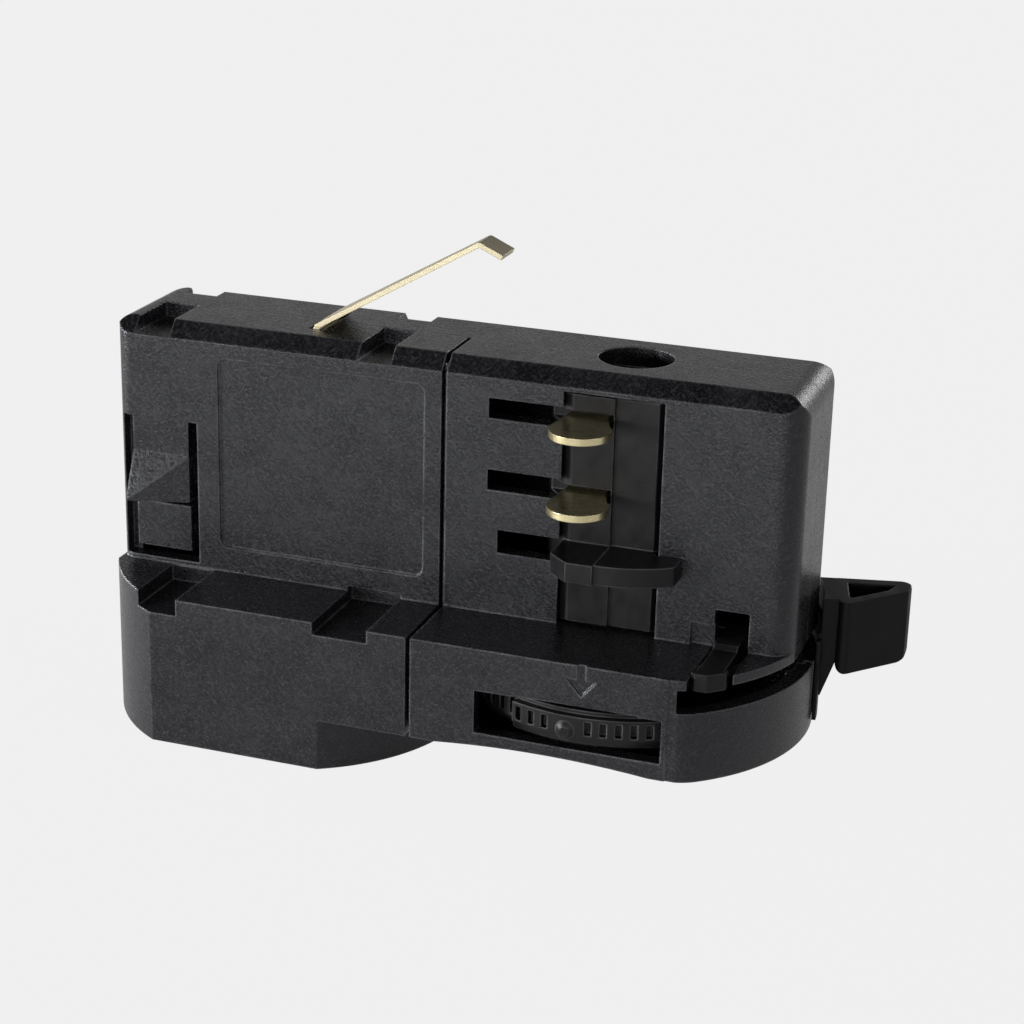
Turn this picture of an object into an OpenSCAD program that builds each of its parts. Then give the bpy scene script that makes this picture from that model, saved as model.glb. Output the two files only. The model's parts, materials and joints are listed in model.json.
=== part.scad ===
// Track light adapter: the insert goes up into a three-circuit track, the base hangs below it.
// Millimetres, +Z up. Origin on the stem's axis, at the flat bottom of the boss.

/* [Insert] */
// Height of the insert above the ledge
insert_h = 26; // [25.5:0.1:27]
// Thickness of the insert, front to back
insert_t = 14.46; // [14.3:0.02:14.6]
// Distance from the stem's axis to the left end
left_reach = 16.9; // [16.8:0.1:17.2]
// Distance from the rotor's axis to the right end
right_reach = 18.6; // [18.3:0.1:18.6]
// Width of the chamfer along the top edges
chamfer_w = 1.45; // [1:0.05:1.6]
// Height of the chamfer along the top edges
chamfer_h = 1.6; // [1.2:0.1:1.6]

/* [Base] */
// Depth of the boss below the ledge
boss_h = 15.9; // [15.5:0.1:18]
// Depth of the rotor end of the base below the ledge
block_h = 10.55; // [10.5:0.05:10.8]
// Width of the base, front to back
base_w = 32.6; // [32.4:0.1:32.8]
// Radius of the boss
boss_r = 18.7; // [18.6:0.1:19]
// Radius of the rounded end under the rotor
end_r = 19.35; // [19.2:0.05:19.4]
// Distance from the stem's axis to the rotor's axis
axis_gap = 36.1; // [36:0.1:37]
// Wall thickness of the mouldings
wall = 1.6; // [1.5:0.1:1.7]
// Gap between the two front covers
cover_gap = 0.5; // [0.3:0.1:0.7]

/* [Mechanism] */
// Turn of the lever from the body's length, as shown
lever_turn = 14; // [12:1:16]
// Thickness of the contact blades
blade_t = 0.7; // [0.5:0.1:0.8]
// Radius of the selector wheel
wheel_r = 16.3; // [16.2:0.1:16.4]
// Number of grip grooves round the selector wheel
wheel_grooves = 72; // [64:2:76]
// Rise of the earth spring from the top of the insert, in degrees
spring_rise = 30.4; // [29.6:0.2:32]
// Radius of the stem's thread, at its crests in the nut
stem_r = 4.46; // [4.3:0.02:4.6]

/* [Hidden] */
$fn = 64;

plastic = [0.13, 0.13, 0.14];
rotor_plastic = [0.10, 0.10, 0.11];
brass = [0.80, 0.68, 0.38];
steel = [0.70, 0.71, 0.72];
insulator = [0.85, 0.84, 0.80];

// Overlap given to cutting tools
cut = 0.5;
// Play round a journal, in radius
journal_play = 0.06;

half_t = insert_t / 2;
half_w = base_w / 2;
inner_half_t = half_t - wall;
inner_half_w = half_w - wall;
ledge_z = boss_h;
block_z = ledge_z - block_h;
right_x = axis_gap + right_reach;
split_x = axis_gap - 17.25;
length = left_reach + right_x;

// Cavity levels, measured from the ledge
roof_z = insert_h - 2.6;
ledge_under = -1.1;
boss_roof = -2.8;
floor_z = -block_h + 1.2;
boss_floor_z = -boss_h + 3.5;

// Corner radii of the insert's plan
corner_r = 2.5;
left_front_r = 1.5;
left_back_r = 5.5;
end_round_r = 2.5;
left_round_r = 1.5;
end_fillet_r = 5;

// Rotor sizes, measured from the rotor's axis and the ledge
window_w = 10.12;
window_h = 24;
rotor_r = 8.15;
rotor_sweep_r = 8.45;
proud_flat = 6.75;
deep_flat = 6.5;
top_hole_r = 3.75;
journal_r = 4.5;
foot_r = 3;
drive_w = 7.6;
wing_z = 6.7;
wing_h = 2;
wing_slot = [6.53, 8.93];
wing_sweep_r = 13.5;
blade_z = [20.95, 13.35];
blade_slots = [[20.36, 22.4], [13.0, 15.1]];
blade_sweep_r = 14.5;
blade_nose = [-2.15, -10.9];
blade_nose_r = 3;

// Lever groove and lever arm, measured from the ledge
groove_z = -3.4;
groove_h = 2.4;
groove_start = -58.5;
groove_end = 48;
arm_z = -3.1;
arm_h = 1;
hub_r = 14.2;
arm_w = 4.4;
arm_angle = 25;
lever_in_r = 19.75;
handle_tip_x = 28.5;
handle_foot_x = 21.09;
skirt_r = [19.45, 19.85];
handle_top = 2.8;
handle_h = 7.6;
handle_half_w = 3.55;

// Selector wheel levels, measured from the ledge
wheel_z = -8.5;
wheel_h = 3.9;
wheel_step = 40;
grip_r = wheel_r + 0.8;
mark_angle = -92.4;

// Interlock tab and its channel, from the rotor's axis
tab_x = [11.2, 13.6];
tab_slot_x = [10.7, 14.4];
tab_bottom = -0.7;

// Places along the left part, from the stem's axis
label_x = [-5.5, 16.8];
label_z = [2.7, 22.9];
notch_x = [[-14.7, -10.8], [9.65, 13.2]];
ledge_notches = [[-10.95, -6.2, 7.4, 1.7], [8.7, 14.5, 6.1, 1.3]];
latch_x = [-16.3, -7.9];
tongue_x = [-15.15, -8.9];
slit_x = [2.8, 4.6];
slit_half_y = 3.6;
spring_pivot = [3.7, 25.95];
latch_top = 15.7;
latch_bottom = 0.5;

// Shared placing and outline helpers

module at_ledge() {
    translate([0, 0, ledge_z]) children();
}

module at_rotor() {
    translate([axis_gap, 0, ledge_z]) children();
}

// A box given by its lowest and highest corners
module box(low, high) {
    translate(low) cube(high - low);
}

// A plate with a radius for each corner, in the order left front, right front, right back, left back
module rounded_plate(low, high, radii) {
    corners = [
        [low[0], low[1], 1, 1], [high[0], low[1], -1, 1],
        [high[0], high[1], -1, -1], [low[0], high[1], 1, -1]
    ];
    difference() {
        translate(low) square(high - low);
        for (i = [0:3]) {
            r = radii[i];
            c = corners[i];
            if (r > 0) {
                difference() {
                    translate([c[0] - (c[2] > 0 ? cut : r), c[1] - (c[3] > 0 ? cut : r)]) square(r + cut);
                    translate([c[0] + c[2] * r, c[1] + c[3] * r]) circle(r);
                }
            }
        }
    }
}

// A sector of a ring, between two angles under 180 degrees apart
module ring_sector(r_in, r_out, from, to) {
    reach = 2 * r_out;
    middle = (from + to) / 2;
    intersection() {
        difference() {
            circle(r_out);
            circle(r_in);
        }
        polygon([
            [0, 0], reach * [cos(from), sin(from)],
            2 * reach * [cos(middle), sin(middle)], reach * [cos(to), sin(to)]
        ]);
    }
}

// Extrudes a drawing of the X-Z plane along Y, between two Y values
module extrude_y(from, to) {
    translate([0, to, 0]) rotate([90, 0, 0]) linear_extrude(to - from) children();
}

// Extrudes a drawing of the Y-Z plane along X, between two X values
module extrude_x(from, to) {
    translate([from, 0, 0]) rotate([90, 0, 90]) linear_extrude(to - from) children();
}

// Housing forms that the shell and the covers share

module insert_plan() {
    rounded_plate([-left_reach, -half_t], [right_x, half_t],
                  [left_front_r, corner_r, corner_r, left_back_r]);
}

module insert_section() {
    polygon([
        [-half_t, -cut], [half_t, -cut], [half_t, insert_h - chamfer_h], [half_t - chamfer_w, insert_h],
        [-half_t + chamfer_w, insert_h], [-half_t, insert_h - chamfer_h]
    ]);
}

module insert_solid() {
    intersection() {
        translate([0, 0, -cut]) linear_extrude(insert_h + cut) insert_plan();
        extrude_x(-left_reach - cut, right_x + cut) insert_section();
        extrude_y(-half_t - cut, half_t + cut)
            rounded_plate([-left_reach, -cut], [right_x, insert_h], [0, 0, end_round_r, left_round_r]);
    }
}

// Plan of the base, drawn in by an inset for its cavity
module base_plan(inset) {
    w = half_w - inset;
    r_end = end_r - inset;
    fillet = end_fillet_r - inset;
    fillet_x = sqrt(pow(r_end - fillet, 2) - pow(w - fillet, 2));
    fillet_dir = [fillet_x, w - fillet] / (r_end - fillet);
    difference() {
        intersection() {
            union() {
                circle(boss_r - inset);
                translate([0, -w]) square([axis_gap, 2 * w]);
                translate([axis_gap, 0]) circle(r_end);
            }
            translate([-left_reach + inset, -w]) square([length + end_r, 2 * w]);
        }
        for (side = [-1, 1]) {
            difference() {
                translate([axis_gap, 0]) polygon([
                    [fillet_x, side * (w - fillet)], [fillet_x, side * (w + cut)],
                    [fillet_x + fillet, side * (w + cut)], [r_end * fillet_dir[0], side * r_end * fillet_dir[1]]
                ]);
                translate([axis_gap + fillet_x, side * (w - fillet)]) circle(fillet);
            }
        }
    }
}

module boss_plan(inset) {
    intersection() {
        circle(boss_r - inset);
        translate([-left_reach + inset, -half_w + inset])
            square([left_reach + boss_r, base_w - 2 * inset]);
    }
}

// Slight arch under the rotor end of the base
module block_arch() {
    arch_r = 110;
    arch_rise = 0.55;
    arch_x = axis_gap - 3.5;
    translate([arch_x, 0, block_z + arch_rise - arch_r]) rotate([90, 0, 0])
        cylinder(r = arch_r, h = 2 * base_w, center = true, $fn = 200);
}

// Small step down from the straight front to the rounded end
module cap_step() {
    step_x = 9.05;
    step_depth = 0.15;
    at_rotor() for (side = [-1, 1])
        translate([step_x, side > 0 ? half_w - step_depth : -half_w - cut, -block_h - cut])
            cube([end_r, step_depth + cut, block_h + 1]);
}

module housing_outside() {
    at_ledge() insert_solid();
    difference() {
        translate([0, 0, block_z]) linear_extrude(block_h) base_plan(0);
        block_arch();
        cap_step();
        at_ledge() box([right_x, -half_w, groove_z + groove_h], [right_x + end_r, half_w, cut]);
    }
    linear_extrude(boss_h) boss_plan(0);
}

module housing_inside() {
    block_left = 16;
    at_ledge() {
        box([-left_reach + wall, -inner_half_t, boss_roof - cut], [right_x - wall, inner_half_t, roof_z]);
        translate([0, 0, boss_floor_z]) linear_extrude(boss_roof - boss_floor_z) boss_plan(wall);
        intersection() {
            translate([0, 0, floor_z]) linear_extrude(ledge_under - floor_z) base_plan(wall);
            box([block_left, -half_w, -boss_h], [right_x + end_r, half_w, insert_h]);
        }
    }
}

// The half of the housing on one side of the middle plane: -1 is the front, 1 the back
module half_space(side) {
    reach = 100;
    translate([-reach, side > 0 ? 0 : -reach, -reach]) cube([3 * reach, reach, 3 * reach]);
}

// Openings round the rotor on the front; the back has them turned by half a turn
module rotor_openings() {
    box([-window_w / 2, -half_t - cut, 0], [window_w / 2, -inner_half_t + cut, window_h]);
    for (slot = blade_slots) swing_slot(blade_sweep_r, slot);
    swing_slot(wing_sweep_r, wing_slot);
}

// Slot to the left of the window, with its end on the path of a blade's tip
module swing_slot(sweep_r, slot) {
    intersection() {
        translate([0, 0, slot[0]]) cylinder(r = sweep_r, h = slot[1] - slot[0]);
        box([-sweep_r, -half_t - cut, slot[0]], [0, -inner_half_t + cut, slot[1]]);
    }
}

module rotor_bearing_cuts() {
    cylinder(r = rotor_sweep_r, h = window_h);
    translate([0, 0, roof_z - cut]) cylinder(r = top_hole_r, h = insert_h);
    translate([0, 0, -block_h - 1]) cylinder(r = foot_r + journal_play, h = block_h);
    translate([0, 0, groove_z]) linear_extrude(groove_h)
        ring_sector(end_r - 4, end_r + 2, groove_start, groove_end);
}

// Ring on the floor that carries the rotor's shoulder
module rotor_seat() {
    translate([0, 0, floor_z - cut]) linear_extrude(cut + 0.6) difference() {
        circle(journal_r + 1.5);
        circle(foot_r + journal_play);
    }
}

// Window for the wheel's rim, and the ring that its grip sweeps inside the wall
module wheel_window() {
    play = 0.35;
    box([-10.3, -half_w - cut, -8.83], [8.55, -inner_half_w + 3, -4.37]);
    translate([0, 0, wheel_z - play]) cylinder(r = grip_r + play, h = wheel_h + 2 * play);
}

module earth_slit() {
    box([slit_x[0], -slit_half_y, roof_z - cut], [slit_x[1], slit_half_y, insert_h + cut]);
}

// Catch on each side of the left end: the opening, then the tongue that stays in it
module latch_opening() {
    box([latch_x[0], -half_t - cut, latch_bottom], [latch_x[1], -inner_half_t, latch_top]);
}

module latch_tongue() {
    face = -half_t;
    free_end = 7;
    nose = 2.1;
    crease = 12;
    block_z_range = [1.6, 6.5];
    block_face = face + 0.25;
    block_back = face + 3.8;
    box([tongue_x[0], face, free_end], [tongue_x[1], face + wall - 0.2, latch_top + cut]);
    polyhedron(
        points = [
            [tongue_x[0], face, crease], [tongue_x[1], face, crease], [tongue_x[1], face, free_end],
            [tongue_x[0], face, free_end], [tongue_x[0], face - nose, free_end + 0.1]
        ],
        faces = [[0, 4, 1], [1, 4, 2], [2, 4, 3], [3, 4, 0], [0, 1, 2, 3]]
    );
    box([tongue_x[0] + 0.15, block_face, block_z_range[0]], [tongue_x[1], block_back, block_z_range[1]]);
    box([-left_reach + 1, face + 2.2, block_z_range[0]], [tongue_x[0] + 1, block_back, block_z_range[1]]);
}

// Partition behind the front catch, between it and the wiring room
module latch_partition() {
    box([-left_reach + 1, 0, latch_bottom], [latch_x[1] + 1, 1, latch_top + 1]);
}

// Pry recess beside the seam of the rounded end
module seam_recess() {
    box([right_reach - 0.2, -cut, -9], [end_r + cut, 0.9, groove_z + cut]);
}

// Housing mouldings

module rear_shell() {
    color(plastic) {
        difference() {
            intersection() {
                housing_outside();
                half_space(1);
            }
            housing_inside();
            at_rotor() {
                rotor_bearing_cuts();
                rotate(180) rotor_openings();
                mirror([0, 1, 0]) wheel_window();
            }
            at_ledge() {
                earth_slit();
                mirror([0, 1, 0]) latch_opening();
                for (n = notch_x) box([n[0], 3.8, insert_h - chamfer_h], [n[1], half_t + cut, insert_h + cut]);
            }
            stem_nut_pocket();
            at_rotor() seam_recess();
        }
        at_ledge() {
            mirror([0, 1, 0]) latch_tongue();
            latch_partition();
        }
        intersection() {
            at_rotor() rotor_seat();
            half_space(1);
        }
    }
}

module front_half() {
    difference() {
        intersection() {
            housing_outside();
            half_space(-1);
        }
        housing_inside();
        at_rotor() {
            rotor_bearing_cuts();
            rotor_openings();
            wheel_window();
            tab_slot();
            arrow_mark();
        }
        at_ledge() {
            earth_slit();
            latch_opening();
            for (n = notch_x) box([n[0], -half_t - cut, insert_h - chamfer_h], [n[1], -0.1, insert_h + cut]);
            for (n = ledge_notches) box([n[0], -half_w - cut, -n[3]], [n[1], -n[2], cut]);
            extrude_y(-half_t - cut, -half_t + 0.3)
                rounded_plate([label_x[0], label_z[0]], [label_x[1], label_z[1]], [1, 1, 1, 1]);
        }
        stem_nut_pocket();
    }
}

module front_left_cover() {
    color(plastic) {
        intersection() {
            front_half();
            box([-100, -100, -100], [split_x - cover_gap / 2, 100, 100]);
        }
        at_ledge() latch_tongue();
    }
}

module front_right_cover() {
    color(plastic) {
        intersection() {
            front_half();
            box([split_x + cover_gap / 2, -100, -100], [200, 100, 100]);
        }
        intersection() {
            at_rotor() rotor_seat();
            half_space(-1);
        }
    }
}

// Channel through the ledge for the interlock tab, its window and the shallow recess beside it
module tab_slot() {
    window_top = 4;
    recess_depth = 0.5;
    channel_z = groove_z + groove_h - cut;
    box([tab_slot_x[0], -half_w - cut, channel_z], [tab_slot_x[1], -half_t + cut, cut]);
    box([tab_x[0] - 0.25, -half_t - cut, channel_z], [tab_slot_x[1], -inner_half_t + cut, window_top]);
    box([8.6, -half_t - cut, 0], [tab_x[0], -half_t + recess_depth, 2.35]);
}

// Arrow that points at the wheel's mark
module arrow_mark() {
    extrude_y(-half_w - cut, -half_w + 0.3) {
        translate([0.1, -1.6]) square([0.8, 1.6 + cut]);
        polygon([[-1.0, -1.5], [2.0, -1.5], [0.5, -3.2]]);
    }
}

// Rotor and lever

// Column in plan: round flanks, flats that lie deeper on one half than on the other, and a facet beside each flat
module rotor_column() {
    lit_facet = [[-4.1, -proud_flat], [-5.2, -6.41], [-5.2, -rotor_r], [-4.1, -rotor_r]];
    steep_facet = [[4.3, -deep_flat], [5.3, -5.4], [6.5, -5.4], [6.5, -rotor_r], [4.3, -rotor_r]];
    difference() {
        intersection() {
            circle(rotor_r);
            union() {
                translate([-rotor_r, -proud_flat]) square([rotor_r, proud_flat + deep_flat]);
                translate([0, -deep_flat]) square([rotor_r, proud_flat + deep_flat]);
            }
        }
        for (turn = [0, 180]) rotate(turn) {
            polygon(lit_facet);
            polygon(steep_facet);
        }
    }
}

// Front wing in plan: a straight edge with a bevelled corner on the left, an arc on the right
module wing_plan() {
    arc_r = 12.2;
    end_x = 7.4;
    end_fillet = 1;
    back_y = -7.45;
    centre = [end_x - end_fillet, -sqrt(pow(arc_r - end_fillet, 2) - pow(end_x - end_fillet, 2))];
    polygon([[0, 0], [-4.8, 0], [-4.8, -10.6], [-2.7, -12.5], [0, -12.5]]);
    translate([-cut, -8]) square([5.2, 8]);
    difference() {
        intersection() {
            circle(arc_r);
            translate([-cut, -arc_r]) square([end_x + cut, arc_r + back_y]);
        }
        difference() {
            polygon([centre, [end_x + cut, centre[1]], [end_x + cut, -arc_r], centre * arc_r / (arc_r - end_fillet)]);
            translate(centre) circle(end_fillet);
        }
    }
}

module rotor_whole() {
    top_z = 24;
    rib = [2.4, 0.3, 25];
    column_z = 0.3;
    pocket_half = 4.75;
    pocket_back = -4.4;
    for_both = [0, 180];
    at_rotor() difference() {
        union() {
            translate([0, 0, column_z]) linear_extrude(window_h - 2 * column_z) rotor_column();
            for (turn = for_both) rotate(turn) translate([0, 0, wing_z]) linear_extrude(wing_h) wing_plan();
            cylinder(r = top_hole_r - journal_play, h = top_z);
            box([-rib[0], 0, top_z - 1], rib);
            translate([-drive_w / 2, -drive_w / 2, -4.2]) cube([drive_w, drive_w, 5]);
            translate([0, 0, wheel_z - 0.15]) cylinder(r = journal_r, h = 5);
            translate([0, 0, 0.2 - block_h]) cylinder(r = foot_r, h = 3);
        }
        for (turn = for_both) {
            rotate(turn) for (row = [0, 1]) {
                box([-rotor_r, -rotor_r, blade_z[row] - 0.3], [-0.1, pocket_back, blade_z[row] + 1.1]);
                box([-pocket_half, pocket_back - cut, blade_z[row]], [-0.7, -2, blade_z[row] + blade_t]);
            }
        }
    }
}

module rotor_half_left() {
    color(rotor_plastic) intersection() {
        rotor_whole();
        box([-100, -100, -100], [axis_gap, 100, 100]);
    }
}

module rotor_half_right() {
    color(rotor_plastic) intersection() {
        rotor_whole();
        box([axis_gap, -100, -100], [200, 100, 100]);
    }
}

// Brass blade in one of the rotor's pockets: the row is 0 for the upper level, 1 for the lower
module contact_blade(row, turn) {
    neck = [-4.7, -0.7];
    neck_y = -6.5;
    color(brass) at_rotor() rotate(turn) translate([0, 0, blade_z[row]]) linear_extrude(blade_t) {
        translate(blade_nose) circle(blade_nose_r);
        polygon([
            [neck[0], -2], [neck[0], neck_y], [blade_nose[0] - blade_nose_r, blade_nose[1]],
            [blade_nose[0] + blade_nose_r, blade_nose[1]], [neck[1], neck_y], [neck[1], -2]
        ]);
    }
}

// Handle of the lever in plan: a back wall and a slanted front plate with a rounded edge beside the arm
module handle_plan() {
    tip_r = 1.1;
    edge_r = 0.8;
    edge = [21.89, -2.4];
    back_y = handle_half_w + 0.05;
    polygon([
        [edge[0] - edge_r, back_y], [handle_tip_x - tip_r, back_y], [handle_tip_x, 1.9], [handle_tip_x - 0.35, 1],
        edge + edge_r * [0.573, -0.82], edge, [edge[0] - edge_r, edge[1]]
    ]);
    translate([handle_tip_x - tip_r, back_y - tip_r]) circle(tip_r);
    translate(edge) circle(edge_r);
}

module handle_pocket() {
    polygon([[22.15, 2.35], [27.0, 2.35], [26.1, 0.85], [22.4, -1.65], [22.15, -1.3]]);
}

// Side view of the handle, with the bottom corners rounded
module handle_side(low) {
    rounded_plate([handle_foot_x, low], [handle_tip_x, handle_top], [0.9, 1.2, 0, 0]);
}

// Block between the handle and the rounded end, and the gusset under it
module handle_block() {
    block_low = -3.4;
    gusset_low = -7.6;
    polygon([
        [lever_in_r - 1, handle_top], [handle_foot_x + 1, handle_top], [handle_foot_x + 1, block_low],
        [handle_foot_x + 0.2, block_low], [skirt_r[1], gusset_low], [lever_in_r - 1, gusset_low]
    ]);
}

module locking_lever() {
    handle_low = handle_top - handle_h;
    skirt_low = -9.9;
    skirt_angle = 10;
    back_wall = [lever_in_r, lever_in_r + 1];
    back_wall_h = 5.5;
    wall_end = arm_angle + 6;
    ledge_gap = -0.9;
    pocket_depth = 5.5;
    color(rotor_plastic) at_rotor() rotate(lever_turn) difference() {
        union() {
            translate([0, 0, arm_z]) linear_extrude(arm_h) {
                circle(r = hub_r);
                rotate(arm_angle) translate([0, -arm_w / 2]) square([lever_in_r + cut, arm_w]);
            }
            translate([0, 0, handle_low]) linear_extrude(back_wall_h)
                ring_sector(back_wall[0], back_wall[1], 0, wall_end);
            translate([0, 0, skirt_low]) linear_extrude(ledge_gap - cut - skirt_low)
                ring_sector(skirt_r[0], skirt_r[1], -skirt_angle, skirt_angle);
            intersection() {
                translate([0, 0, handle_low]) linear_extrude(handle_h) handle_plan();
                extrude_y(-2 * handle_half_w, 2 * handle_half_w) handle_side(handle_low);
            }
            difference() {
                extrude_y(-handle_half_w + 1.2, handle_half_w) handle_block();
                translate([0, 0, ledge_gap]) cylinder(r = lever_in_r, h = insert_h);
                translate([0, 0, -boss_h]) cylinder(r = skirt_r[0], h = insert_h);
            }
        }
        translate([0, 0, handle_top - pocket_depth]) linear_extrude(pocket_depth + cut) handle_pocket();
        rotate(-lever_turn) translate([0, 0, arm_z - cut])
            linear_extrude(arm_h + 2 * cut) square(drive_w, center = true);
    }
}

// Selector

// Half section of the wheel's ring, with a rounded lower rim
module wheel_section() {
    bore_r = journal_r + journal_play;
    web_r = [journal_r + 1.6, wheel_r - 2.2];
    web_top = wheel_z + 2;
    top = wheel_z + wheel_h;
    polygon([
        [bore_r, wheel_z], [wheel_r - 1.5, wheel_z], [wheel_r - 0.6, wheel_z + 0.45], [wheel_r, wheel_z + 1.3],
        [wheel_r, top], [web_r[1], top], [web_r[1], web_top], [web_r[0], web_top], [web_r[0], top], [bore_r, top]
    ]);
}

// Half section of the raised grip on the wheel's rim
module grip_section() {
    top = wheel_z + wheel_h;
    polygon([
        [wheel_r - 1, wheel_z + 0.2], [grip_r - 1, wheel_z + 0.2], [grip_r - 0.3, wheel_z + 0.7], [grip_r, wheel_z + 1.5],
        [grip_r, top - 0.4], [wheel_r - 1, top - 0.4]
    ]);
}

// Angle between a groove and the smooth mark
function mark_gap(angle) = abs((angle - mark_angle + 540) % 360 - 180);

module selector_wheel() {
    dot_r = 0.95;
    mark_half_angle = 5.3;
    step = 360 / wheel_grooves;
    grip_angles = [mark_angle - 4 * step, mark_angle + 10 * step];
    groove_w = 0.65;
    groove_depth = 0.7;
    groove_low = wheel_z + 1.7;
    grip_groove_h = 1.4;
    reach = grip_r + 1;
    color(rotor_plastic) at_rotor() {
        difference() {
            union() {
                rotate_extrude($fn = 128) wheel_section();
                intersection() {
                    rotate_extrude($fn = 128) grip_section();
                    translate([0, 0, wheel_z]) linear_extrude(wheel_h)
                        ring_sector(wheel_r / 2, reach, grip_angles[0], grip_angles[1]);
                }
            }
            for (i = [0:wheel_grooves - 1]) {
                angle = (mark_angle + (i + 0.5) * step + 540) % 360 - 180;
                on_grip = angle > grip_angles[0] && angle < grip_angles[1];
                depth_r = (on_grip ? grip_r : wheel_r) - groove_depth;
                groove = [2, groove_w, on_grip ? grip_groove_h : wheel_h];
                if (mark_gap(angle) > mark_half_angle) rotate(angle)
                    translate([depth_r, -groove_w / 2, groove_low]) cube(groove);
            }
        }
        rotate(mark_angle) translate([grip_r, 0, wheel_z + wheel_h / 2]) rotate([0, 90, 0]) {
            translate([0, 0, -1]) cylinder(r = dot_r, h = 1.1);
            translate([0, 0, 0.1]) cylinder(r1 = dot_r, r2 = 0.5 * dot_r, h = 0.25);
        }
    }
}

module selector_wiper() {
    color(brass) at_rotor() translate([0, 0, wheel_z - 0.3]) linear_extrude(0.3)
        ring_sector(journal_r + 2, 14, 130, 140);
}

module phase_pads() {
    color(brass) at_rotor() translate([0, 0, floor_z]) linear_extrude(0.3)
        for (k = [0:2]) ring_sector(9, 13, 50 + k * wheel_step, 60 + k * wheel_step);
}

module detent_spring() {
    bump_angle = 29;
    back_r = end_r - wall - 0.02;
    color(steel) at_rotor() translate([0, 0, wheel_z + 0.6]) linear_extrude(2.6) {
        ring_sector(back_r - 0.35, back_r, 12, 46);
        rotate(bump_angle) translate([back_r - 0.6, 0]) intersection() {
            circle(0.5, $fn = 24);
            translate([-1, -1]) square([1.4, 2]);
        }
    }
}

// Fixed springs that feed the blades: a foot on the housing's wall and a finger beside the rotor
module contact_spring(row, turn) {
    strip = 0.4;
    foot = [9.6, 15.6];
    wall_y = -inner_half_t;
    color(brass) at_rotor() rotate(turn) translate([0, 0, blade_z[row] - 2]) linear_extrude(1.7)
        polygon([
            [foot[1], wall_y], [foot[1], wall_y + strip], [foot[0], wall_y + strip],
            [8.9 + strip, -2.6], [8.9, -2.6], [foot[0] - strip, wall_y]
        ]);
}

// Earth contact

module earth_spring() {
    strip = 0.5;
    arm = 19.15;
    root_half = 3.4;
    root_r = 0.35;
    tip_half = 1.7;
    tip_plate = 2.5;
    tip_drop = 24 + spring_rise;
    color(brass) at_ledge() translate([spring_pivot[0], 0, spring_pivot[1]]) {
        rotate([0, -spring_rise, 0]) {
            linear_extrude(strip) polygon([
                [0, -root_half], [arm, -tip_half], [arm, tip_half], [0, root_half]
            ]);
            translate([arm, 0, 0]) {
                rotate([0, tip_drop, 0]) translate([0, -tip_half, 0]) cube([tip_plate, 2 * tip_half, strip]);
                extrude_y(-tip_half, tip_half) polygon([
                    [0, 0], [0, strip], strip * [sin(tip_drop / 3), cos(tip_drop / 3)],
                    strip * [sin(tip_drop / 1.5), cos(tip_drop / 1.5)], strip * [sin(tip_drop), cos(tip_drop)]
                ]);
            }
        }
        translate([0, -root_half, 0]) rotate([-90, 0, 0]) cylinder(r = root_r, h = 2 * root_half, $fn = 24);
    }
}

module earth_strap() {
    strip = 0.4;
    color(brass) at_ledge() {
        box([2.2, inner_half_t - strip, 10.5], [5.2, inner_half_t, 23.0]);
        box([2.2, -3, 23.0], [5.2, inner_half_t, roof_z]);
        box([3.2, -3, 23.0], [4.2, 3, 25.5]);
    }
}

// Interlock tab on the ledge

module interlock_tab() {
    front_y = -15;
    head_y = -12.9;
    head_x = [10.7, 13.9];
    head_low = -1.3;
    step_y = [-8.3, -7.9];
    top_z = [0.5, 0.35, 0.8];
    tail_y = -2.5;
    tail_w = 1.2;
    tail_x = [10.4, 14.4];
    color(rotor_plastic) at_rotor() intersection() {
        union() {
            extrude_x(tab_x[0], tab_x[1]) polygon([
                [front_y, tab_bottom], [front_y, top_z[0]], [step_y[0], top_z[1]], [step_y[1], top_z[2]],
                [tail_y, top_z[2]], [tail_y, tab_bottom]
            ]);
            extrude_x(head_x[0], head_x[1]) polygon([
                [front_y, head_low], [front_y, top_z[0] - 0.05], [head_y, top_z[0] - 0.1], [head_y, head_low]
            ]);
            box([tail_x[0], tail_y - tail_w, tab_bottom], [tail_x[1], tail_y, top_z[2]]);
        }
        translate([0, 0, -block_h]) cylinder(r = lever_in_r - 0.3, h = insert_h);
        translate([0, 0, -block_h]) linear_extrude(insert_h) polygon([
            [tail_x[0], 0], [tail_x[0], head_y], [head_x[0], front_y + 0.5], [head_x[0] + 0.5, front_y],
            [tail_x[1], front_y], [tail_x[1], 0]
        ]);
    }
}

// Wiring pieces in the left part

terminal_pitch = 6.2;
terminal_x0 = -1.7;

module terminal_block() {
    color(insulator) at_ledge() difference() {
        box([-5, -0.6, 0.5], [14, inner_half_t, 10.5]);
        for (i = [0:2]) {
            x = terminal_x0 + i * terminal_pitch;
            box([x - 2.2, 0.6, -cut], [x + 2.2, 5, 9]);
            translate([x, 1, 4.7]) rotate([90, 0, 0]) cylinder(r = 1.9, h = 3);
        }
    }
}

module terminal_clamps() {
    color(brass) at_ledge() for (i = [0:2]) {
        x = terminal_x0 + i * terminal_pitch;
        difference() {
            box([x - 2.15, 0.65, 1.5], [x + 2.15, 5, 9]);
            translate([x, 3.2, 1]) cylinder(r = 1.3, h = 6);
            translate([x, 3, 4.7]) rotate([90, 0, 0]) cylinder(r = 1.3, h = 5);
        }
    }
}

module terminal_screws() {
    color(steel) at_ledge() for (i = [0:2]) {
        x = terminal_x0 + i * terminal_pitch;
        difference() {
            union() {
                translate([x, 1.8, 4.7]) rotate([90, 0, 0]) cylinder(r = 1.25, h = 1.8);
                translate([x, 0.65, 4.7]) rotate([90, 0, 0]) cylinder(r = 1.8, h = 1.1);
            }
            box([x - 2, -0.8, 4.45], [x + 2, 0, 4.95]);
        }
    }
}

nut_flats = 15;
nut_h = 6.5;

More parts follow.
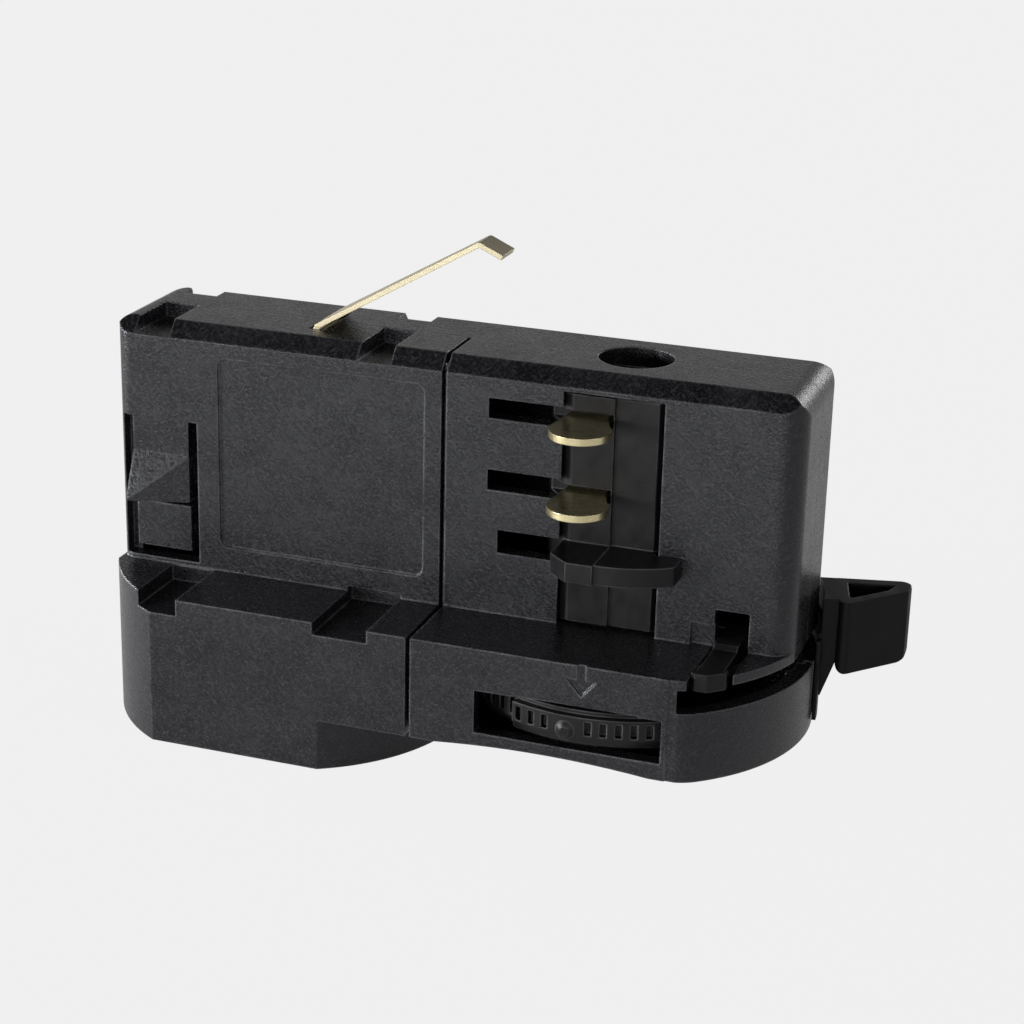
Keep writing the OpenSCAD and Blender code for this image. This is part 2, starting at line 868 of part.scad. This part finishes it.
module stem_nut_pocket() {
    translate([0, 0, -cut]) cylinder(r = 6.5 + journal_play, h = 10);
    translate([0, 0, 2]) cylinder(d = (nut_flats + 0.2) / cos(30), h = 10, $fn = 6);
}

module stem_nut() {
    color(steel) difference() {
        union() {
            cylinder(r = 6.5, h = nut_h);
            translate([0, 0, 2]) cylinder(d = nut_flats / cos(30), h = nut_h - 2, $fn = 6);
        }
        translate([0, 0, -cut]) cylinder(r = stem_r, h = nut_h + 1);
    }
}

rear_shell();
front_left_cover();
front_right_cover();
rotor_half_left();
rotor_half_right();
locking_lever();
selector_wheel();
selector_wiper();
phase_pads();
detent_spring();
contact_blade(0, 0);  // phase_blade_1
contact_blade(1, 0);  // phase_blade_2
contact_blade(0, 180);  // phase_blade_3
contact_blade(1, 180);  // neutral_blade
contact_spring(0, 0);  // phase_spring_1
contact_spring(1, 0);  // phase_spring_2
contact_spring(0, 180);  // phase_spring_3
contact_spring(1, 180);  // neutral_spring
earth_spring();
earth_strap();
interlock_tab();
terminal_block();
terminal_clamps();
terminal_screws();
stem_nut();
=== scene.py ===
import json
import math
import bmesh
import bpy
from mathutils import Matrix, Vector


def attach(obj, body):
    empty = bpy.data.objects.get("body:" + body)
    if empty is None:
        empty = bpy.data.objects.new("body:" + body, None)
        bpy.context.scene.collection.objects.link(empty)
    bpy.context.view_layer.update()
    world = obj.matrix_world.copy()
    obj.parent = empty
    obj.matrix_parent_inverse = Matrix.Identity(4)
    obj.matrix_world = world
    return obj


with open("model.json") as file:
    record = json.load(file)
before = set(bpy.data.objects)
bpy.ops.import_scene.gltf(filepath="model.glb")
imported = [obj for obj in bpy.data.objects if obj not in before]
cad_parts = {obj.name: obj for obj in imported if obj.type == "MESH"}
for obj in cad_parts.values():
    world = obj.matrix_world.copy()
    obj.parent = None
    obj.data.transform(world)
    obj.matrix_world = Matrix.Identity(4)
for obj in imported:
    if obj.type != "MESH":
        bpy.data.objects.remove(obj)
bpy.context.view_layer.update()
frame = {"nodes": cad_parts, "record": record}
scene = bpy.context.scene
MM = 0.001

# Camera: fitted to the photograph's perspective
IMAGE_PX = 1024
FOCAL_PX = 2400
SENSOR_MM = 36
CAMERA_YAW = math.radians(18.791)
CAMERA_RISE = math.radians(20.149)
CAMERA_ROLL = math.radians(1.4396)
CAMERA_PLACE = (0.0972052, -0.2160630, 0.1078546)
CLIP_START = 0.01

# Inner pieces, in millimetres
LIP_BAND_X = (17.7, 20.0)
LIP_TONGUE_X = (18.7, 19.0)
RIB_LOW = (44.0, 3.5, 16.0)
RIB_HIGH = (46.0, 5.7, 22.2)

# Floor and room: the room's level falls from the horizon up, by the height on a unit sphere
FLOOR_REACH = 3.0
FLOOR_COLOUR = (0.8, 0.8, 0.8, 1)
FLOOR_ROUGH = 0.9
FLOOR_SHOWN = 0.98
FLOOR_MIRRORED = 0.35
PALE = (0.878, 0.878, 0.878, 1)
ROOM_HEIGHTS = (0.12, 0.6)
ROOM_LEVELS = (0.72, 0.03)

# Lamps: name, place, width and height in metres, power in watts
LIT_POINT = (0.02, 0, 0.02)
LAMPS = (
    ("left_key", (-0.75, -0.5, 0.11), (0.3, 0.16), 9.5),
    ("left_edge", (-0.8, 0.25, 0.11), (0.3, 0.16), 4.5),
    ("front_fill", (-0.05, -0.8, 0.09), (0.6, 0.14), 2),
    ("right_soft", (0.5, -0.08, 0.7), (0.25, 0.25), 0.9),
    ("back_right", (0.33, 0.8, 0.29), (0.25, 0.25), 1),
)


def add_camera():
    back = Vector((
        math.sin(CAMERA_YAW) * math.cos(CAMERA_RISE),
        -math.cos(CAMERA_YAW) * math.cos(CAMERA_RISE),
        math.sin(CAMERA_RISE),
    ))
    level_right = (-back).cross(Vector((0, 0, 1))).normalized()
    level_up = level_right.cross(-back)
    right = level_right * math.cos(CAMERA_ROLL) + level_up * math.sin(CAMERA_ROLL)
    up = level_up * math.cos(CAMERA_ROLL) - level_right * math.sin(CAMERA_ROLL)
    data = bpy.data.cameras.new("camera")
    data.sensor_width = SENSOR_MM
    data.lens = FOCAL_PX / IMAGE_PX * SENSOR_MM
    data.clip_start = CLIP_START
    camera = bpy.data.objects.new("camera", data)
    camera.matrix_world = Matrix((right, up, back)).transposed().to_4x4()
    camera.location = CAMERA_PLACE
    scene.collection.objects.link(camera)
    scene.camera = camera


# Node helpers

class Nodes:
    """Adds and links nodes in the tree of a material or a world."""

    def __init__(self, owner):
        owner.use_nodes = True
        self.tree = owner.node_tree
        self.tree.nodes.clear()

    def add(self, kind, **settings):
        node = self.tree.nodes.new(kind)
        for key, value in settings.items():
            setattr(node, key, value)
        return node

    def link(self, output, socket):
        self.tree.links.new(output, socket)

    def feed(self, socket, value):
        """Links an output to a socket, or sets a plain value on it."""
        if hasattr(value, "links"):
            self.link(value, socket)
        else:
            socket.default_value = value

    def remap(self, value, span, levels=(0, 1), curve="LINEAR"):
        node = self.add("ShaderNodeMapRange", interpolation_type=curve)
        for i, v in enumerate((*span, *levels)):
            node.inputs[i + 1].default_value = v
        self.link(value, node.inputs[0])
        return node.outputs[0]

    def math(self, op, a, b):
        node = self.add("ShaderNodeMath", operation=op)
        self.feed(node.inputs[0], a)
        self.feed(node.inputs[1], b)
        return node.outputs[0]

    def blend(self, factor, a, b):
        node = self.add("ShaderNodeMixShader")
        for socket, output in zip(node.inputs, (factor, a, b)):
            self.link(output, socket)
        return node.outputs[0]


class Surface(Nodes):
    """Builds one material, with the textures that the finishes share."""

    BEVEL_SAMPLES = 4
    # Face-to-edge span, noise patches and levels of the painted edge highlight
    FACE_TO_EDGE = (0.97, 0.8)
    HIGHLIGHT_PATCHES = (0.36, 0.58)
    HIGHLIGHT_LEVELS = (0.25, 1)
    MIX_COLOURS = (6, 7)
    MIX_RESULT = 2

    def __init__(self, name):
        self.mat = bpy.data.materials.new(name)
        super().__init__(self.mat)
        self.out = self.add("ShaderNodeOutputMaterial")
        self.bsdf = self.add("ShaderNodeBsdfPrincipled")
        self.link(self.bsdf.outputs[0], self.out.inputs[0])

    def set(self, name, value):
        self.feed(self.bsdf.inputs[name], value)

    def noise(self, scale, detail, stretch=(1, 1, 1), turn=(0, 0, 0), rough=0.55):
        place = self.add("ShaderNodeMapping", vector_type="TEXTURE")
        place.inputs["Scale"].default_value = stretch
        place.inputs["Rotation"].default_value = turn
        self.link(self.add("ShaderNodeTexCoord").outputs["Object"], place.inputs[0])
        texture = self.add("ShaderNodeTexNoise")
        texture.inputs["Scale"].default_value = scale
        texture.inputs["Detail"].default_value = detail
        texture.inputs["Roughness"].default_value = rough
        self.link(place.outputs[0], texture.inputs["Vector"])
        return texture.outputs[0]

    def mix(self, factor, a, b):
        node = self.add("ShaderNodeMix", data_type="RGBA")
        self.link(factor, node.inputs[0])
        for i, colour in zip(self.MIX_COLOURS, (a, b)):
            self.feed(node.inputs[i], colour if hasattr(colour, "links") else (*colour, 1))
        return node.outputs[self.MIX_RESULT]

    def bump(self, height, strength, distance, normal):
        node = self.add("ShaderNodeBump")
        node.inputs["Strength"].default_value = strength
        node.inputs["Distance"].default_value = distance
        self.link(height, node.inputs["Height"])
        self.link(normal, node.inputs["Normal"])
        return node.outputs[0]

    def soft_edges(self, radius):
        node = self.add("ShaderNodeBevel", samples=self.BEVEL_SAMPLES)
        node.inputs[0].default_value = radius
        return node.outputs[0]

    def painted_edge_highlight(self, soft, broken, most):
        """Share of painted edge highlight, a pale colour painted along edges in place of the light they
        catch: none on a face, most on an edge, broken up by a noise.
        """
        bend = self.add("ShaderNodeVectorMath", operation="DOT_PRODUCT")
        self.link(soft, bend.inputs[0])
        self.link(self.add("ShaderNodeNewGeometry").outputs["Normal"], bend.inputs[1])
        edge = self.remap(bend.outputs["Value"], self.FACE_TO_EDGE, (0, most))
        return self.math("MULTIPLY", edge, self.remap(broken, self.HIGHLIGHT_PATCHES, self.HIGHLIGHT_LEVELS))


# Materials

def filled_plastic(name, base, light, glint, highlight_colour, rough):
    """Glass-filled black moulding: mottled flow, a fine grain and short pale fibres that lie every way."""
    n = Surface(name)
    fibre_scale = 4300
    mottle = n.noise(scale=230, detail=4, rough=0.65)
    grain = n.noise(scale=3600, detail=3, rough=0.7)
    fibres = n.noise(fibre_scale, detail=3, stretch=(5, 1.5, 1), turn=(0, 0.85, 0.2), rough=0.6)
    for turn in ((0.3, -0.5, 0.7), (0.6, 0.2, -0.6)):
        fibres = n.math("MAXIMUM", fibres, n.noise(fibre_scale, detail=2, stretch=(5, 1, 1), turn=turn))
    soft = n.soft_edges(radius=0.3 * MM)
    colour = n.mix(n.remap(mottle, span=(0.3, 0.7)), base, light)
    colour = n.mix(n.remap(grain, span=(0.5, 0.76), levels=(0, 0.8)), colour, glint)
    colour = n.mix(n.remap(fibres, span=(0.60, 0.80)), colour, glint)
    # Painted highlight: a pale colour along the edges, in place of the light they catch
    colour = n.mix(n.painted_edge_highlight(soft, mottle, most=0.8), colour, highlight_colour)
    n.set("Base Color", colour)
    mottle_share = 0.35
    tooth = n.math("ADD", n.math("MULTIPLY", mottle, mottle_share), fibres)
    n.set("Roughness", n.remap(tooth, span=(0.6, 1.0), levels=rough))
    n.set("Specular Tint", (0.94, 0.95, 1, 1))
    height = n.math("ADD", fibres, grain)
    n.set("Normal", n.bump(height, strength=1, distance=0.04 * MM, normal=soft))
    return n.mat


def satin_plastic(name, base, light, highlight_colour, rough, gloss):
    """Smooth unfilled moulding with a soft sheen, faint scuffs, a shallow grain and a painted highlight
    along its edges.
    """
    n = Surface(name)
    cloud = n.noise(scale=180, detail=3)
    scuff = n.noise(scale=900, detail=2, stretch=(1, 8, 2), turn=(0, 0.4, 0.6))
    grain = n.noise(scale=2200, detail=2)
    soft = n.soft_edges(radius=0.25 * MM)
    colour = n.mix(n.remap(cloud, span=(0.35, 0.7)), base, light)
    # Painted highlight: a pale colour along the edges, in place of the light they catch
    colour = n.mix(n.painted_edge_highlight(soft, cloud, most=0.7), colour, highlight_colour)
    n.set("Base Color", colour)
    n.set("Roughness", n.remap(scuff, span=(0.35, 0.7), levels=rough))
    n.set("Specular IOR Level", gloss)
    n.set("Normal", n.bump(grain, strength=0.3, distance=0.03 * MM, normal=soft))
    return n.mat


def metal(name, base, shade, rough, brush):
    """Stamped sheet metal with a fine rolling grain and a faint tarnish."""
    n = Surface(name)
    grain = n.noise(scale=5200, detail=3, stretch=brush)
    cloud = n.noise(scale=420, detail=3, rough=0.6)
    half = 0.5
    tint = n.math("ADD", n.math("MULTIPLY", cloud, half), n.math("MULTIPLY", grain, half))
    n.set("Base Color", n.mix(n.remap(tint, span=(0.38, 0.62)), base, shade))
    n.set("Metallic", 1)
    n.set("Roughness", n.remap(grain, span=(0.3, 0.7), levels=rough))
    soft = n.soft_edges(radius=0.1 * MM)
    n.set("Normal", n.bump(grain, strength=0.15, distance=0.01 * MM, normal=soft))
    return n.mat


# Pieces inside the housing

def add_inner_piece(name, bm, finish):
    bmesh.ops.triangulate(bm, faces=bm.faces)
    mesh = bpy.data.meshes.new(name)
    bm.to_mesh(mesh)
    bm.free()
    piece = bpy.data.objects.new(name, mesh)
    scene.collection.objects.link(piece)
    piece.data.materials.append(finish)
    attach(piece, "housing")


def front_path(base_y, insert_y, floor_z, ledge_z, roof_z):
    """Path in Y and Z inside the front: the base's floor, up to the ledge, up the insert to its roof."""
    return [
        (0, floor_z), (base_y, floor_z), (base_y, ledge_z),
        (insert_y, ledge_z), (insert_y, roof_z), (0, roof_z),
    ]


def add_section(bm, x_range, outer, inner):
    """Adds a wall: the section between two paths, drawn out along X."""
    from_x, to_x = x_range
    face = bm.faces.new([bm.verts.new((from_x * MM, y * MM, z * MM)) for y, z in outer + inner[::-1]])
    moved = bmesh.ops.extrude_face_region(bm, geom=[face])["geom"]
    step = Vector(((to_x - from_x) * MM, 0, 0))
    bmesh.ops.translate(bm, vec=step, verts=[g for g in moved if isinstance(g, bmesh.types.BMVert)])


def cover_lip(finish):
    """Lip that closes the gap between the covers: a band on their inner faces and a tongue in the gap."""
    bm = bmesh.new()
    add_section(
        bm, LIP_BAND_X,
        outer=front_path(base_y=-14.7, insert_y=-5.63, floor_z=6.55, ledge_z=14.8, roof_z=39.3),
        inner=front_path(base_y=-13.9, insert_y=-4.83, floor_z=7.35, ledge_z=14.0, roof_z=38.5),
    )
    add_section(
        bm, LIP_TONGUE_X,
        outer=front_path(base_y=-15.5, insert_y=-6.5, floor_z=5.95, ledge_z=15.3, roof_z=41.0),
        inner=front_path(base_y=-14.5, insert_y=-5.4, floor_z=6.8, ledge_z=14.6, roof_z=39.1),
    )
    bmesh.ops.recalc_face_normals(bm, faces=bm.faces)
    add_inner_piece("cover_lip", bm, finish)


def rotor_rib(finish):
    """Rib inside the rear wall, under the rotor's wing, that shades the gap at the rear window's edge."""
    bm = bmesh.new()
    low, high = Vector(RIB_LOW) * MM, Vector(RIB_HIGH) * MM
    bmesh.ops.create_cube(bm, size=1, matrix=Matrix.LocRotScale((low + high) / 2, None, high - low))
    add_inner_piece("rotor_rib", bm, finish)


def dress():
    brushed_along_x, brushed_along_y = (12, 1, 1), (1, 12, 1)
    # The edge colours given to the plastics below are painted highlights along their edges
    finish = {
        "housing": filled_plastic(
            "housing_plastic", base=(0.003, 0.003, 0.0036), light=(0.008, 0.008, 0.0092),
            glint=(0.034, 0.034, 0.039), highlight_colour=(0.2, 0.2, 0.21), rough=(0.19, 0.43)),
        "mechanism": satin_plastic(
            "mechanism_plastic", base=(0.003, 0.003, 0.0035), light=(0.006, 0.006, 0.0068),
            highlight_colour=(0.2, 0.2, 0.21), rough=(0.34, 0.48), gloss=0.28),
        "contact_brass": metal(
            "contact_brass", base=(0.80, 0.71, 0.43), shade=(0.70, 0.61, 0.35),
            rough=(0.24, 0.36), brush=brushed_along_x),
        "steel": metal(
            "zinc_steel", base=(0.62, 0.63, 0.65), shade=(0.5, 0.51, 0.53),
            rough=(0.25, 0.4), brush=brushed_along_y),
        "insulator": satin_plastic(
            "insulator_plastic", base=(0.72, 0.71, 0.66), light=(0.78, 0.77, 0.72),
            highlight_colour=(0.84, 0.83, 0.79), rough=(0.4, 0.55), gloss=0.5),
    }
    own_finish = {
        "locking_lever": satin_plastic(
            "lever_plastic", base=(0.003, 0.003, 0.0035), light=(0.005, 0.005, 0.0057),
            highlight_colour=(0.05, 0.05, 0.055), rough=(0.38, 0.52), gloss=0.16),
        "earth_spring": metal(
            "earth_brass", base=(0.58, 0.52, 0.37), shade=(0.50, 0.44, 0.30),
            rough=(0.38, 0.5), brush=brushed_along_x),
    }
    cover_lip(finish["housing"])
    rotor_rib(finish["housing"])
    slots = {s["node"]: s["material_slot"] for s in frame["record"]["subparts"]}
    for name, obj in frame["nodes"].items():
        mat = own_finish.get(name, finish[slots[name]])
        if len(obj.material_slots) == 0:
            obj.data.materials.append(mat)
        for s in obj.material_slots:
            s.link = "OBJECT"
            s.material = mat


# Floor, room and lamps

def pale_floor():
    """Matte pale surface that the camera sees nearly as plain light, and reflections a little less so."""
    n = Surface("floor_pale")
    n.set("Base Color", FLOOR_COLOUR)
    n.set("Roughness", FLOOR_ROUGH)
    path = n.add("ShaderNodeLightPath").outputs
    direct = n.math("MAXIMUM", path["Is Camera Ray"], path["Is Transmission Ray"])
    mirrored = n.math("MULTIPLY", path["Is Glossy Ray"], FLOOR_MIRRORED)
    shown = n.math("MAXIMUM", n.math("MULTIPLY", direct, FLOOR_SHOWN), mirrored)
    glow = n.add("ShaderNodeEmission")
    glow.inputs[0].default_value = PALE
    n.link(n.blend(shown, n.bsdf.outputs[0], glow.outputs[0]), n.out.inputs[0])
    return n.mat


def add_floor():
    mesh = bpy.data.meshes.new("floor")
    r = FLOOR_REACH
    mesh.from_pydata([(-r, -r, 0), (r, -r, 0), (r, r, 0), (-r, r, 0)], [], [(0, 1, 2, 3)])
    floor = bpy.data.objects.new("floor", mesh)
    scene.collection.objects.link(floor)
    floor.data.materials.append(pale_floor())


def add_room():
    """Plain pale backdrop for the camera, and a room that is bright low down for all other rays."""
    scene.world = bpy.data.worlds.new("world")
    n = Nodes(scene.world)
    direction = n.add("ShaderNodeSeparateXYZ")
    n.link(n.add("ShaderNodeTexCoord").outputs["Generated"], direction.inputs[0])
    room = n.add("ShaderNodeBackground")
    n.link(n.remap(direction.outputs["Z"], ROOM_HEIGHTS, ROOM_LEVELS, "SMOOTHSTEP"), room.inputs[1])
    backdrop = n.add("ShaderNodeBackground")
    backdrop.inputs[0].default_value = PALE
    seen = n.add("ShaderNodeLightPath").outputs["Is Camera Ray"]
    out = n.add("ShaderNodeOutputWorld")
    n.link(n.blend(seen, room.outputs[0], backdrop.outputs[0]), out.inputs[0])


def add_lamp(name, place, size, power):
    data = bpy.data.lights.new(name, "AREA")
    data.shape = "RECTANGLE"
    data.size, data.size_y = size
    data.energy = power
    lamp = bpy.data.objects.new(name, data)
    lamp.location = place
    lamp.rotation_euler = (Vector(LIT_POINT) - Vector(place)).to_track_quat("-Z", "Y").to_euler()
    scene.collection.objects.link(lamp)


add_camera()
dress()
add_floor()
add_room()
for lamp_values in LAMPS:
    add_lamp(*lamp_values)
scene.view_settings.view_transform = "Standard"
